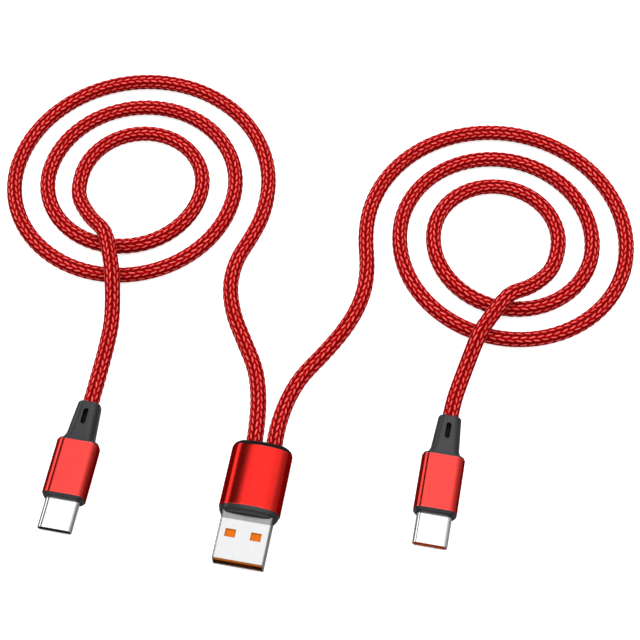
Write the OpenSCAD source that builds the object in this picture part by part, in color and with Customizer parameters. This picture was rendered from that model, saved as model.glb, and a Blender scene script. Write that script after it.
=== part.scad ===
// Charging cable with one type A plug and two braided cords, each laid in a
// flat coil and ending in a type C plug. Every plug points along -Y and the
// whole cable lies on the plane z = 0. Sizes are in millimetres.

/* [Cords] */
// Outer diameter of each braided cord
cord_d = 4; // [3.5:0.1:4.3]
// Diameter of the jacket inside the braid
jacket_d = 3; // [2.8:0.1:3.2]
// Diameter of each insulated wire
wire_d = 0.8; // [0.6:0.05:0.85]

/* [Coils] */
// Radius at which a cord enters its coil
coil_r = 35.7; // [32:0.1:40]
// Distance between neighbouring turns
coil_pitch = 8.7; // [7.5:0.1:9.5]
// Half turns in each coil
coil_half_turns = 5; // [3:2:5]
// Distance of the coils behind the type A plug's middle
coil_y = 85; // [80:0.5:95]
// Sideways place of the left coil
left_coil_x = -49.4; // [-60:0.1:-45]
// Sideways place of the right coil
right_coil_x = 49; // [45:0.1:60]

/* [Type A plug] */
// Width of the metal shell
a_shell_w = 12; // [11.9:0.1:12.1]
// Height of the metal shell
a_shell_h = 4.5; // [4.4:0.1:4.6]
// Length of shell in front of the housing
a_shell_out = 11.3; // [11:0.1:12]
// Thickness of the shell's sheet
a_sheet = 0.3; // [0.2:0.05:0.4]
// Length of the dark front bezel
a_bezel_len = 1.8; // [1.5:0.1:2.2]
// Width of the aluminium sleeve
a_sleeve_w = 14.6; // [14.2:0.1:16]
// Height of the aluminium sleeve
a_sleeve_h = 8.2; // [7.8:0.1:9]
// Radius of the sleeve's sides
a_side_r = 3.6; // [3.4:0.1:3.8]
// Length of the aluminium sleeve
a_sleeve_len = 15.5; // [14.5:0.1:18]

/* [Type C plugs] */
// Width of the metal shell
c_shell_w = 8.25; // [8.2:0.05:8.3]
// Height of the metal shell
c_shell_h = 2.4; // [2.35:0.05:2.45]
// Length of shell in front of the housing
c_shell_out = 7.7; // [7:0.1:8.2]
// Thickness of the shell's sheet
c_sheet = 0.25; // [0.2:0.05:0.3]
// Length of the dark front bezel
c_bezel_len = 0.6; // [0.5:0.1:1.2]
// Width of the aluminium sleeve
c_sleeve_w = 10.3; // [10:0.1:11.5]
// Height of the aluminium sleeve
c_sleeve_h = 6; // [5.8:0.1:6.6]
// Radius of the sleeve's corners
c_corner_r = 2.2; // [1.6:0.1:2.6]
// Length of the aluminium sleeve
c_sleeve_len = 13.9; // [13.4:0.1:16]
// Length of the strain relief behind the sleeve
relief_len = 10.8; // [9:0.1:13]
// Width of the strain relief where the cord leaves it
relief_w = 5.6; // [5.2:0.1:6]

/* [Housings] */
// Wall of the aluminium sleeves
sleeve_wall = 0.5; // [0.4:0.05:0.6]
// Length of the type A plug's rear cap
cap_len = 1.4; // [1.2:0.1:2]
// Gap between parts that slide together
fit_gap = 0.05; // [0.03:0.01:0.08]

/* [Hidden] */
$fn = 48;

// Colours
anodised_red = "#d81f1f";
coral_red = "#ec3b34";
cord_red = "#b81414";
trim_grey = "#34343a";
trim_black = "#1a1a1c";
steel = "#e6e6ea";
gold = "#d8a83c";
tin = "#c4c6ca";
orange = "#e2761b";
board_green = "#1f6b3a";
core_white = "#e9e6dc";

// Places along the type A plug, measured back from its mouth
a_z = a_sleeve_h / 2;
a_sleeve_y = a_shell_out + a_bezel_len;
a_cap_y = a_sleeve_y + a_sleeve_len;
a_len = a_cap_y + cap_len;
a_shell_len = a_sleeve_y + 2.9;
a_board_y = a_shell_len + 0.2;
a_board_len = 7.8;
a_stem_len = 2.5;
a_core_end = a_cap_y - a_stem_len;
a_wire_y = a_board_y + 4.8;
a_jacket_y = a_core_end - 1;
a_cord_x = 2.4;
a_board_w = 11.2;
a_board_t = 0.8;

// Type A contacts and the windows in the shell
a_contact_x = [-3.5, -1, 1, 3.5];
a_contact_w = 1;
contact_t = 0.25;
a_tongue_tip = 0.3;
a_tongue_back = 12;
a_window_x = 3;
a_window_y = 6.4;
a_window = [2.5, 2];

// Places along a type C plug, measured back from its mouth
c_z = c_sleeve_h / 2;
c_sleeve_y = c_shell_out + c_bezel_len;
c_relief_y = c_sleeve_y + c_sleeve_len;
c_len = c_relief_y + relief_len;
c_shell_len = c_sleeve_y + 2.2;
c_board_y = c_shell_len + 0.2;
c_board_len = 6.8;
c_stem_len = 1.7;
c_core_end = c_relief_y - c_stem_len;
c_wire_y = c_board_y + 4.8;
c_jacket_y = c_core_end - 1;
c_board_w = 7.2;
c_board_t = 0.7;

// Type C mouth: the slot that a socket's tongue enters, and what lines it
c_slot = [6.8, 6, 0.8];
c_lip = 0.2;
c_pin_pitch = 0.5;
c_pin = [0.25, 0.15];
c_pins_top = [1, 4, 5, 6, 7, 9, 12];
c_pins_bottom = [1, 4, 5, 9, 12];
latch_t = 0.3;
spring_t = 0.1;

// Neck of the strain relief and its slots
neck_w = 6.7;
neck_h = 5.3;
neck_end_h = 5;
shoulder = 2.5;
relief_slot = [1.2, 4.2];
relief_slot_back = 2.1;
braid_in_relief = 1.4;

// Where the two type C plugs lie: the middle of each mouth
left_tip = [-43.7, -14.2];
right_tip = [42.5, -2.1];

// Heights of a cord's middle: at rest, and lying over another cord
rest_z = cord_d / 2;
climb = cord_d + 0.2;

// Ends of the cords' free stretches
coil_out_r = coil_r - coil_half_turns * coil_pitch / 2;
left_coil_in = [left_coil_x + coil_r, coil_y, rest_z];
right_coil_in = [right_coil_x - coil_r, coil_y, rest_z];
left_coil_out = [left_coil_x - coil_out_r, coil_y, rest_z];
right_coil_out = [right_coil_x + coil_out_r, coil_y, rest_z];
left_exit = [-a_cord_x, a_len / 2, a_z];
right_exit = [a_cord_x, a_len / 2, a_z];
left_neck = [left_tip.x, left_tip.y + c_len, c_z];
right_neck = [right_tip.x, right_tip.y + c_len, c_z];

// Leads, as shares of the way from the type A plug to a coil: sideways,
// along, and up
left_lead_shape = [
    [0.05, 0.09, 0.76], [0.15, 0.19, 0.25], [0.36, 0.3, 0],
    [0.76, 0.41, 0], [1.12, 0.51, 0], [1.34, 0.62, 0], [1.34, 0.73, 0],
    [1.16, 0.83, 0], [1.03, 0.92, 0]
];
right_lead_shape = [
    [-0.02, 0.09, 0.67], [0.05, 0.2, 0.15], [0.24, 0.3, 0],
    [0.6, 0.4, 0], [0.93, 0.5, 0], [1.16, 0.6, 0], [1.25, 0.7, 0],
    [1.2, 0.8, 0], [1.06, 0.9, 0]
];

// Radii of the turns that a tail crosses, from the inside out
crossed = [for (i = [coil_half_turns - 2:-2:1]) coil_r - (2 * i + 1) * coil_pitch / 4];

// Tails, as shares of the way sideways from a coil's end to the type C plug.
// Before the crossing the second number is a share of the way to the first
// crossed turn, and after it a share of the way from the last one to the
// plug; the third is a share of the climb.
left_tail_before = [[0.05, 0.34, 0], [0.3, 0.66, 0.3], [0.53, 0.87, 0.93]];
left_tail_over = [0.63, 0.81];
left_tail_after = [
    [0.86, 0.09, 0.9], [0.91, 0.21, 0.42], [0.96, 0.37, 0.05],
    [0.98, 0.56, 0], [0.99, 0.77, 0.07]
];
right_tail_before = [[0.05, 0.34, 0], [0.27, 0.66, 0.3], [0.49, 0.87, 0.93]];
right_tail_over = [0.58, 0.78];
right_tail_after = [
    [0.83, 0.13, 0.9], [0.88, 0.3, 0.42], [0.93, 0.5, 0.1], [0.98, 0.74, 0.07]
];

function mix(a, b, share) = a + (b - a) * share;

function lead_route(from, to, shape) = concat(
    [from],
    [for (s = shape)
        [mix(from.x, to.x, s[0]), mix(from.y, to.y, s[1]), mix(to.z, from.z, s[2])]],
    [to]
);

function tail_route(from, to, before, over, after) =
    let (spare = len(over) - len(crossed), last_y = coil_y - crossed[len(crossed) - 1])
    concat(
        [from],
        [for (s = before)
            [mix(from.x, to.x, s[0]), coil_y - s[1] * crossed[0], rest_z + s[2] * climb]],
        [for (i = [0:len(crossed) - 1])
            [mix(from.x, to.x, over[spare + i]), coil_y - crossed[i], rest_z + climb]],
        [for (s = after)
            [mix(from.x, to.x, s[0]), mix(last_y, to.y, s[1]), rest_z + s[2] * climb]],
        [to]
    );

left_lead_route = lead_route(left_exit, left_coil_in, left_lead_shape);
right_lead_route = lead_route(right_exit, right_coil_in, right_lead_shape);
left_tail_route = tail_route(
    left_coil_out, left_neck, left_tail_before, left_tail_over, left_tail_after
);
right_tail_route = tail_route(
    right_coil_out, right_neck, right_tail_before, right_tail_over, right_tail_after
);

// Outlines ------------------------------------------------------------

// Points of an arc about [x, y], from angle a0 to angle a1 in n steps
function arc(x, y, r, a0, a1, n) =
    [for (i = [0:n]) let (a = a0 + (a1 - a0) * i / n)
        [x + r * cos(a), y + r * sin(a)]];

// Rectangle w by h with corners of radius r
function round_box(w, h, r, n = 6) =
    concat(
        arc(w / 2 - r, h / 2 - r, r, 0, 90, n),
        arc(r - w / 2, h / 2 - r, r, 90, 180, n),
        arc(r - w / 2, r - h / 2, r, 180, 270, n),
        arc(w / 2 - r, r - h / 2, r, 270, 360, n)
    );

// Oval w by h: sides of radius r joined by wide arcs above and below that
// run into them smoothly
function oval(w, h, r, n = 8) =
    let (
        side_x = w / 2 - r,
        rise = h / 2 - r,
        drop = (side_x * side_x - rise * rise) / (2 * rise),
        wide_r = drop + h / 2,
        half = atan(side_x / drop)
    )
    concat(
        arc(side_x, 0, r, half - 90, 90 - half, n),
        arc(0, -drop, wide_r, 90 - half, 90 + half, n),
        arc(-side_x, 0, r, 90 + half, 270 - half, n),
        arc(0, drop, wide_r, 270 - half, 270 + half, n)
    );

// The type A housing's outline, and the type C one, drawn in by inset
function a_outline(inset) =
    oval(a_sleeve_w - 2 * inset, a_sleeve_h - 2 * inset, a_side_r - inset);
function c_outline(inset) =
    round_box(c_sleeve_w - 2 * inset, c_sleeve_h - 2 * inset,
              c_corner_r - inset);

// Building blocks -----------------------------------------------------

// Extrudes an X-Z drawing along Y, from y0 back to y1
module along_y(y0, y1)
    translate([0, y1, 0]) rotate([90, 0, 0]) linear_extrude(y1 - y0) children();

// Extrudes a Y-Z drawing along X, w wide about x
module along_x(x, w)
    translate([x - w / 2, 0, 0]) rotate([90, 0, 90]) linear_extrude(w) children();

// Block between two Y places, centred on the axis in X and Z
module bar(w, h, y0, y1) translate([-w / 2, y0, -h / 2]) cube([w, y1 - y0, h]);

// Rod along Y about [x, z]
module rod(d, x, z, y0, y1)
    translate([x, y1, z]) rotate([90, 0, 0]) cylinder(d = d, h = y1 - y0);

// Triangles that join ring i to ring i + 1, for rings of n points
function skin(rings, n) =
    [for (i = [0:rings - 2]) for (k = [0:n - 1]) for (half = [0, 1])
        let (j = (k + 1) % n, a = i * n, b = (i + 1) * n)
        half == 0 ? [a + k, b + k, b + j] : [a + k, b + j, a + j]];

// Solid through equal rings of points
module skin_solid(rings) {
    n = len(rings[0]);
    count = len(rings);
    polyhedron(
        points = [for (ring = rings) each ring],
        faces = concat(
            [[for (k = [0:n - 1]) k]],
            [[for (k = [0:n - 1]) count * n - 1 - k]],
            skin(count, n)
        )
    );
}

// Solid along Y through outlines, given as [y, outline] from front to back
module loft(stations)
    skin_solid([for (s = stations)
        [for (k = [len(s[1]) - 1:-1:0]) [s[1][k].x, s[0], s[1][k].y]]]);

function unit(v) = v / norm(v);

// Direction of a route at point i; both ends run straight along Y
function heading(route, i, end_y) =
    i == 0 || i == len(route) - 1 ? [0, end_y, 0]
    : unit(unit(route[i + 1] - route[i]) + unit(route[i] - route[i - 1]));

function tube_ring(centre, ahead, sides) =
    let (side = unit(cross(ahead, [0, 0, 1])), up = cross(side, ahead))
    [for (k = [0:sides - 1]) let (a = 360 * k / sides)
        centre + cord_d / 2 * (sin(a) * side + cos(a) * up)];

// Free cord along a route; end_y is 1 when it runs towards +Y
module tube(route, end_y, sides = 10)
    color(cord_red)
        skin_solid([for (i = [0:len(route) - 1])
            tube_ring(route[i], heading(route, i, end_y), sides)]);

// Flat coil of half rings. Each is smaller than the last by half a pitch,
// and their centres step to and fro, so that every joint is smooth.
module coil(x, mirrored)
    color(cord_red)
        translate([x, coil_y, rest_z]) mirror([mirrored, 0, 0])
            for (i = [0:coil_half_turns - 1]) {
                flip = i % 2;
                r = coil_r - (2 * i + 1) * coil_pitch / 4;
                rotate([0, 0, 180 * flip]) translate([coil_pitch / 4, 0, 0])
                    rotate_extrude(angle = 180) translate([r, 0]) circle(d = cord_d);
            }

// Type A plug ---------------------------------------------------------

module at_host() translate([0, -a_len / 2, a_z]) children();

function a_shell_outline(inset) =
    round_box(a_shell_w - 2 * inset, a_shell_h - 2 * inset, 0.5 - inset / 2, 4);

module host_shell()
    color(steel) at_host()
        difference() {
            along_y(0, a_shell_len) polygon(a_shell_outline(0));
            along_y(-1, a_shell_len + 1) polygon(a_shell_outline(a_sheet));
            for (side = [-1, 1])
                translate([side * a_window_x, a_window_y, 0])
                    cube([a_window.x, a_window.y, a_shell_h + 2], center = true);
        }

// Width and height of the insulator that fills the back of the shell
a_in_w = a_shell_w - 2 * a_sheet - 2 * fit_gap;
a_in_h = a_shell_h - 2 * a_sheet - 2 * fit_gap;

module host_insulator()
    color(orange) at_host()
        difference() {
            intersection() {
                union() {
                    translate([-a_in_w / 2, a_tongue_tip, 0])
                        cube([a_in_w, a_tongue_back, a_in_h / 2]);
                    bar(a_in_w, a_in_h, a_tongue_back, a_shell_len);
                }
                along_y(0, a_shell_len) polygon(a_shell_outline(a_sheet + fit_gap));
            }
            for (x = a_contact_x)
                translate([x, 0, 0])
                    bar(a_contact_w + 2 * fit_gap, contact_t * 2,
                        contact_front(x) - fit_gap, a_shell_len + 1);
        }

// The outer contacts reach nearer to the mouth than the inner ones
function contact_front(x) = abs(x) > 2 ? 1.2 : 2.2;

// Contacts lie in grooves under the tongue and step up on to the board
module host_contacts()
    color(gold) at_host()
        for (x = a_contact_x)
            along_x(x, a_contact_w)
                polygon([
                    [contact_front(x), 0],
                    [a_shell_len + 0.1, 0],
                    [a_board_y + 0.8, a_board_t / 2],
                    [a_board_y + 2.6, a_board_t / 2],
                    [a_board_y + 2.6, a_board_t / 2 + contact_t],
                    [a_board_y + 0.7, a_board_t / 2 + contact_t],
                    [a_shell_len, contact_t],
                    [contact_front(x), contact_t]
                ]);

module host_board()
    color(board_green) at_host()
        difference() {
            bar(a_board_w, a_board_t, a_board_y, a_board_y + a_board_len);
            for (x = a_contact_x)
                along_x(x, a_contact_w + 0.2)
                    polygon([
                        [a_board_y - 1, 0],
                        [a_board_y - 1, 2],
                        [a_board_y + 1, 2],
                        [a_board_y + 1, a_board_t / 2],
                        [a_board_y + 0.4, -0.1]
                    ]);
        }

// Wires lie in pairs above and below a board of thickness t
function wire_z(t) = t / 2 + wire_d / 2 + 0.02;
wire_x = 0.5;

module solder_domes(y, t)
    color(tin)
        for (x = [-wire_x, wire_x]) for (level = [-1, 1])
            translate([x, y - 0.42, level * t / 2])
                rotate([90 - level * 90, 0, 0])
                    rotate_extrude() intersection() {
                        circle(r = 0.38);
                        square(1);
                    }

module host_solder()
    at_host() for (side = [-1, 1])
        translate([side * a_cord_x, 0, 0]) solder_domes(a_wire_y, a_board_t);

// Width and height of the room inside the inner mould, for the joints
a_core_room = [10.4, 3.5];

module host_core()
    color(core_white) at_host()
        difference() {
            along_y(a_shell_len + 0.1, a_core_end)
                polygon(a_outline(sleeve_wall + fit_gap));
            bar(a_core_room.x, a_core_room.y, 0, a_len);
            bar(a_board_w + 2 * fit_gap, a_board_t + 2 * fit_gap,
                0, a_board_y + a_board_len + fit_gap);
        }

// Front bezel: a chamfered collar round the shell, with pads above and
// below it inside the sleeve
module host_front_bezel()
    color(trim_grey) at_host()
        difference() {
            union() {
                loft([
                    [a_shell_out, a_outline(0.9)],
                    [a_shell_out + 0.5 * a_bezel_len, a_outline(0.35)],
                    [a_sleeve_y, a_outline(0.15)]
                ]);
                difference() {
                    along_y(a_sleeve_y, a_sleeve_y + 1.5)
                        polygon(a_outline(sleeve_wall + fit_gap));
                    bar(a_sleeve_w, a_shell_h + 2 * fit_gap, a_sleeve_y, a_len);
                }
            }
            along_y(0, a_len) polygon(a_shell_outline(-fit_gap));
        }

module host_sleeve()
    color(anodised_red) at_host()
        difference() {
            along_y(a_sleeve_y, a_cap_y) polygon(a_outline(0));
            along_y(0, a_len) polygon(a_outline(sleeve_wall));
        }

// Rear cap: a chamfered end with a stem in the sleeve and a hole per cord
module host_rear_cap()
    color(trim_black) at_host()
        difference() {
            union() {
                loft([
                    [a_cap_y, a_outline(0.15)],
                    [a_cap_y + 0.4 * cap_len, a_outline(0.25)],
                    [a_len, a_outline(1.1)]
                ]);
                along_y(a_core_end, a_cap_y)
                    polygon(a_outline(sleeve_wall + fit_gap));
            }
            for (side = [-1, 1])
                rod(cord_d + 2 * fit_gap, side * a_cord_x, 0, a_core_end - 1, a_len + 1);
        }

// End of a cord inside a plug: bare jacket from y0, then braid from y1 to y2
module cord_end(x, y0, y1, y2) {
    color(trim_black) rod(jacket_d, x, 0, y0, y1);
    color(cord_red) rod(cord_d, x, 0, y1, y2);
}

module host_cord_ends()
    at_host() for (side = [-1, 1])
        cord_end(side * a_cord_x, a_jacket_y, a_core_end + 1, a_len);

// One wire of a cord; column and level are -1 or 1
module wire(column, level, t, y0, y1)
    rod(wire_d, column * wire_x, level * wire_z(t), y0, y1);

module host_wires(colour, column, level)
    color(colour) at_host()
        for (side = [-1, 1])
            translate([side * a_cord_x, 0, 0])
                wire(column, level, a_board_t, a_wire_y, a_jacket_y);

module host_wire_red() host_wires("#c02020", 1, 1);
module host_wire_black() host_wires("#202020", -1, 1);
module host_wire_green() host_wires("#208040", 1, -1);
module host_wire_white() host_wires("#f0f0f0", -1, -1);

// Type C plugs --------------------------------------------------------

module at_plug(tip) translate([tip.x, tip.y, c_z]) children();

// Outline of the shell, a full round at each side, drawn in by inset
function c_shell_outline(inset) =
    round_box(c_shell_w - 2 * inset, c_shell_h - 2 * inset,
              c_shell_h / 2 - inset - 0.001, 8);

module c_shell()
    color(steel)
        difference() {
            along_y(0, c_shell_len) polygon(c_shell_outline(0));
            along_y(-1, c_shell_len + 1) polygon(c_shell_outline(c_sheet));
        }

function pin_x(number) = (number - 6.5) * c_pin_pitch;

// Height of the contacts' faces above the axis
pin_z = c_board_t / 2;

// Flat spring in the middle plane: a plate with an arm at each side of the
// slot, grown by gap
module latch_outline(gap)
    difference() {
        translate([-3.6 - gap, 1.6 - gap]) square([7.2 + 2 * gap, 8.2 + 2 * gap]);
        translate([-3.25 + gap, 0]) square([6.5 - 2 * gap, c_lip + c_slot.y + 0.3 - gap]);
    }

module ground_spring_boxes(gap)
    for (level = [0, 1]) mirror([0, 0, level])
        translate([-2.6 - gap, 1 - gap, c_shell_h / 2 - c_sheet - fit_gap - spring_t])
            cube([5.2 + 2 * gap, 3.5 + 2 * gap, spring_t + gap]);

module c_insulator(colour)
    color(colour)
        difference() {
            along_y(c_lip, c_shell_len + 0.1) polygon(c_shell_outline(c_sheet + fit_gap));
            bar(c_slot.x, c_slot.z, 0, c_lip + c_slot.y);
            for (pin = c_pins_top) pin_bar(pin, 1, fit_gap / 2);
            for (pin = c_pins_bottom) pin_bar(pin, -1, fit_gap / 2);
            translate([0, 0, -latch_t / 2 - fit_gap])
                linear_extrude(latch_t + 2 * fit_gap) latch_outline(fit_gap);
            ground_spring_boxes(fit_gap);
        }

// One contact, above the slot (level 1) or below it (level -1)
module pin_bar(number, level, gap)
    translate([
        pin_x(number) - c_pin.x / 2 - gap,
        1.4 - gap,
        level > 0 ? pin_z - gap : -pin_z - c_pin.y - gap
    ])
        cube([c_pin.x + 2 * gap, c_board_y + 0.3 + 2 * gap, c_pin.y + 2 * gap]);

module c_contacts()
    color(gold) {
        for (pin = c_pins_top) pin_bar(pin, 1, 0);
        for (pin = c_pins_bottom) pin_bar(pin, -1, 0);
    }

module c_latch()
    color(tin)
        translate([0, 0, -latch_t / 2]) linear_extrude(latch_t) latch_outline(0);

module c_ground_springs() color(tin) ground_spring_boxes(0);

module c_board()
    color(board_green)
        bar(c_board_w, c_board_t, c_board_y, c_board_y + c_board_len);

module c_resistor()
    color(trim_black)
        translate([1.6, c_board_y + 2.8, c_board_t / 2]) cube([1, 0.5, 0.35]);

module c_solder() solder_domes(c_wire_y, c_board_t);

module c_core()
    color(core_white)
        difference() {
            along_y(c_shell_len + 0.2, c_core_end)
                polygon(c_outline(sleeve_wall + fit_gap));
            bar(6.6, 3, 0, c_len);
            bar(c_board_w + 2 * fit_gap, c_board_t + 2 * fit_gap,
                0, c_board_y + c_board_len + fit_gap);
        }

module c_front_bezel()
    color(trim_grey)
        difference() {
            union() {
                loft([
                    [c_shell_out, c_outline(0.6)],
                    [c_shell_out + 0.6 * c_bezel_len, c_outline(0.25)],
                    [c_sleeve_y, c_outline(0.15)]
                ]);
                along_y(c_sleeve_y, c_shell_len)
                    polygon(c_outline(sleeve_wall + fit_gap));
            }
            along_y(0, c_len) polygon(c_shell_outline(-fit_gap));
        }

module c_sleeve()
    color(coral_red)
        difference() {
            along_y(c_sleeve_y, c_relief_y) polygon(c_outline(0));
            along_y(0, c_len) polygon(c_outline(sleeve_wall));
        }

// Share of the way from the sleeve's outline to the neck's, for a hollow
// quarter-round shoulder
shoulder_steps = 6;
function hollow(step) = sin(90 * step / shoulder_steps);

// Outline of the relief's shoulder at a step
function shoulder_outline(step) =
    let (share = hollow(step), inset = 0.2)
    round_box(
        mix(c_sleeve_w - 2 * inset, neck_w, share),
        mix(c_sleeve_h - 2 * inset, neck_h, share),
        mix(c_corner_r - inset, 1.8, share)
    );

module c_strain_relief()
    color(trim_grey)
        difference() {
            union() {
                loft(concat(
                    [[c_relief_y, shoulder_outline(0)]],
                    [for (step = [0:shoulder_steps])
                        let (run = 1 - cos(90 * step / shoulder_steps))
                        [c_relief_y + 0.4 + shoulder * run, shoulder_outline(step)]],
                    [[c_len - 0.5, round_box(relief_w, neck_end_h, 1.8)]],
                    [[c_len, round_box(relief_w - 0.5, neck_end_h - 0.4, 1.8)]]
                ));
                along_y(c_core_end, c_relief_y)
                    polygon(c_outline(sleeve_wall + fit_gap));
            }
            rod(jacket_d + 2 * fit_gap, 0, 0, c_core_end - 1, c_len);
            rod(cord_d + 2 * fit_gap, 0, 0, c_len - braid_in_relief, c_len + 1);
            translate([0, c_len - relief_slot_back - relief_slot.y, 0])
                relief_slots();
        }

// Oblong slots through the neck down to the jacket, above and below
module relief_slots() {
    r = relief_slot.x / 2;
    translate([0, 0, -neck_h])
        linear_extrude(2 * neck_h)
            polygon(concat(
                arc(0, r, r, 180, 360, 8),
                arc(0, relief_slot.y - r, r, 0, 180, 8)
            ));
}

module c_cord_end() cord_end(0, c_jacket_y, c_len - braid_in_relief, c_len);

module c_wire(colour, column, level)
    color(colour) wire(column, level, c_board_t, c_wire_y, c_jacket_y);

module c_wire_red() c_wire("#c02020", 1, 1);
module c_wire_black() c_wire("#202020", -1, 1);
module c_wire_green() c_wire("#208040", 1, -1);
module c_wire_white() c_wire("#f0f0f0", -1, -1);

// Cords ---------------------------------------------------------------

module left_lead() tube(left_lead_route, 1);
module right_lead() tube(right_lead_route, 1);
module left_coil() coil(left_coil_x, 0);
module right_coil() coil(right_coil_x, 1);
module left_tail() tube(left_tail_route, -1);
module right_tail() tube(right_tail_route, -1);

host_shell();
host_insulator();
host_contacts();
host_board();
host_solder();
host_core();
host_front_bezel();
host_sleeve();
host_rear_cap();
host_cord_ends();
host_wire_red();
host_wire_black();
host_wire_green();
host_wire_white();

left_lead();
left_coil();
left_tail();
at_plug(left_tip) c_shell();  // left_shell
at_plug(left_tip) c_insulator(trim_black);  // left_insulator
at_plug(left_tip) c_contacts();  // left_contacts
at_plug(left_tip) c_latch();  // left_latch
at_plug(left_tip) c_ground_springs();  // left_ground_springs
at_plug(left_tip) c_board();  // left_board
at_plug(left_tip) c_resistor();  // left_resistor
at_plug(left_tip) c_solder();  // left_solder
at_plug(left_tip) c_core();  // left_core
at_plug(left_tip) c_front_bezel();  // left_front_bezel
at_plug(left_tip) c_sleeve();  // left_sleeve
at_plug(left_tip) c_strain_relief();  // left_strain_relief
at_plug(left_tip) c_cord_end();  // left_cord_end
at_plug(left_tip) c_wire_red();  // left_wire_red
at_plug(left_tip) c_wire_black();  // left_wire_black
at_plug(left_tip) c_wire_green();  // left_wire_green
at_plug(left_tip) c_wire_white();  // left_wire_white

right_lead();
right_coil();
right_tail();
at_plug(right_tip) c_shell();  // right_shell
at_plug(right_tip) c_insulator(orange);  // right_insulator
at_plug(right_tip) c_contacts();  // right_contacts
at_plug(right_tip) c_latch();  // right_latch
at_plug(right_tip) c_ground_springs();  // right_ground_springs
at_plug(right_tip) c_board();  // right_board
at_plug(right_tip) c_resistor();  // right_resistor
at_plug(right_tip) c_solder();  // right_solder
at_plug(right_tip) c_core();  // right_core
at_plug(right_tip) c_front_bezel();  // right_front_bezel
at_plug(right_tip) c_sleeve();  // right_sleeve
at_plug(right_tip) c_strain_relief();  // right_strain_relief
at_plug(right_tip) c_cord_end();  // right_cord_end
at_plug(right_tip) c_wire_red();  // right_wire_red
at_plug(right_tip) c_wire_black();  // right_wire_black
at_plug(right_tip) c_wire_green();  // right_wire_green
at_plug(right_tip) c_wire_white();  // right_wire_white
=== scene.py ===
import math

import bmesh
import bpy
import numpy as np
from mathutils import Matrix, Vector


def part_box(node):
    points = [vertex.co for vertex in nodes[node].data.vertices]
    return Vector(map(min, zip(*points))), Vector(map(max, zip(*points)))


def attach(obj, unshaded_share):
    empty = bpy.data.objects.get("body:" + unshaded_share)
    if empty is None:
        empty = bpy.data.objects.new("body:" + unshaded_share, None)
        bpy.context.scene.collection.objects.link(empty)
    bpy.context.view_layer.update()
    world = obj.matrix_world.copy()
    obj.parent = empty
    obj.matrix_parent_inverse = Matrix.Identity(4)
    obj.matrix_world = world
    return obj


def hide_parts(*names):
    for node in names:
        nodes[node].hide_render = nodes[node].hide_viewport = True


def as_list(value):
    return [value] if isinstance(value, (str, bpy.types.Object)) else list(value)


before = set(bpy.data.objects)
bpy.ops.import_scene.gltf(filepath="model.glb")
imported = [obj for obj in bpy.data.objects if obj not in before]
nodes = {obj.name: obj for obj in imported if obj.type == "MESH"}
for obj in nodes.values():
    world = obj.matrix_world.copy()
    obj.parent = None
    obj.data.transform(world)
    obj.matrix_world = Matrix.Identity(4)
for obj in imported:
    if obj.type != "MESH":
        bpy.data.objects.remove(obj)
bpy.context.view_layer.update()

MM = 0.001
scene = bpy.context.scene


# Camera -----------------------------------------------------------------

CAMERA_AIM = Vector((6.4, 53.9, 0)) * MM
CAMERA_AZIMUTH = 10.5
CAMERA_ELEVATION = 60.5
CAMERA_DISTANCE = 394.2 * MM
CAMERA_LENS = 88


def make_camera():
    data = bpy.data.cameras.new("camera")
    data.lens = CAMERA_LENS
    camera = bpy.data.objects.new("camera", data)
    scene.collection.objects.link(camera)
    azimuth = math.radians(CAMERA_AZIMUTH)
    elevation = math.radians(CAMERA_ELEVATION)
    back = Vector(
        (
            math.sin(azimuth) * math.cos(elevation),
            -math.cos(azimuth) * math.cos(elevation),
            math.sin(elevation),
        )
    )
    camera.location = CAMERA_AIM + back * CAMERA_DISTANCE
    camera.rotation_mode = "QUATERNION"
    camera.rotation_quaternion = (-back).to_track_quat("-Z", "Y")
    data.clip_start = 0.01
    data.clip_end = 10
    scene.camera = camera


make_camera()


# Materials --------------------------------------------------------------


# Which output of a Mix node holds its mixed colour
MIXED_COLOUR = 2


class Signal:
    """A value that a material's nodes carry; arithmetic on it adds Math nodes."""

    def __init__(self, finish, socket):
        self.finish = finish
        self.socket = socket

    def math(self, operation, *values):
        return self.finish.math(operation, self, *values)

    def __add__(self, other):
        return self.math("ADD", other)

    def __sub__(self, other):
        return self.math("SUBTRACT", other)

    def __rsub__(self, other):
        return self.finish.math("SUBTRACT", other, self)

    def __mul__(self, other):
        return self.math("MULTIPLY", other)

    def __pow__(self, other):
        return self.math("POWER", other)

    def __mod__(self, other):
        return self.math("FLOORED_MODULO", other)

    __radd__ = __add__
    __rmul__ = __mul__

    def floor(self):
        return self.math("FLOOR")

    def absolute(self):
        return self.math("ABSOLUTE")

    def clamped(self):
        return self.math("MINIMUM", 1).math("MAXIMUM", 0)

    def step(self, low, high):
        """0 below low, 1 above high, and smooth between them."""
        made = self.finish.node(
            "ShaderNodeMapRange",
            {"interpolation_type": "SMOOTHSTEP"},
            {"Value": self, "From Min": low, "From Max": high},
        )
        return Signal(self.finish, made.outputs[0])


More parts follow.
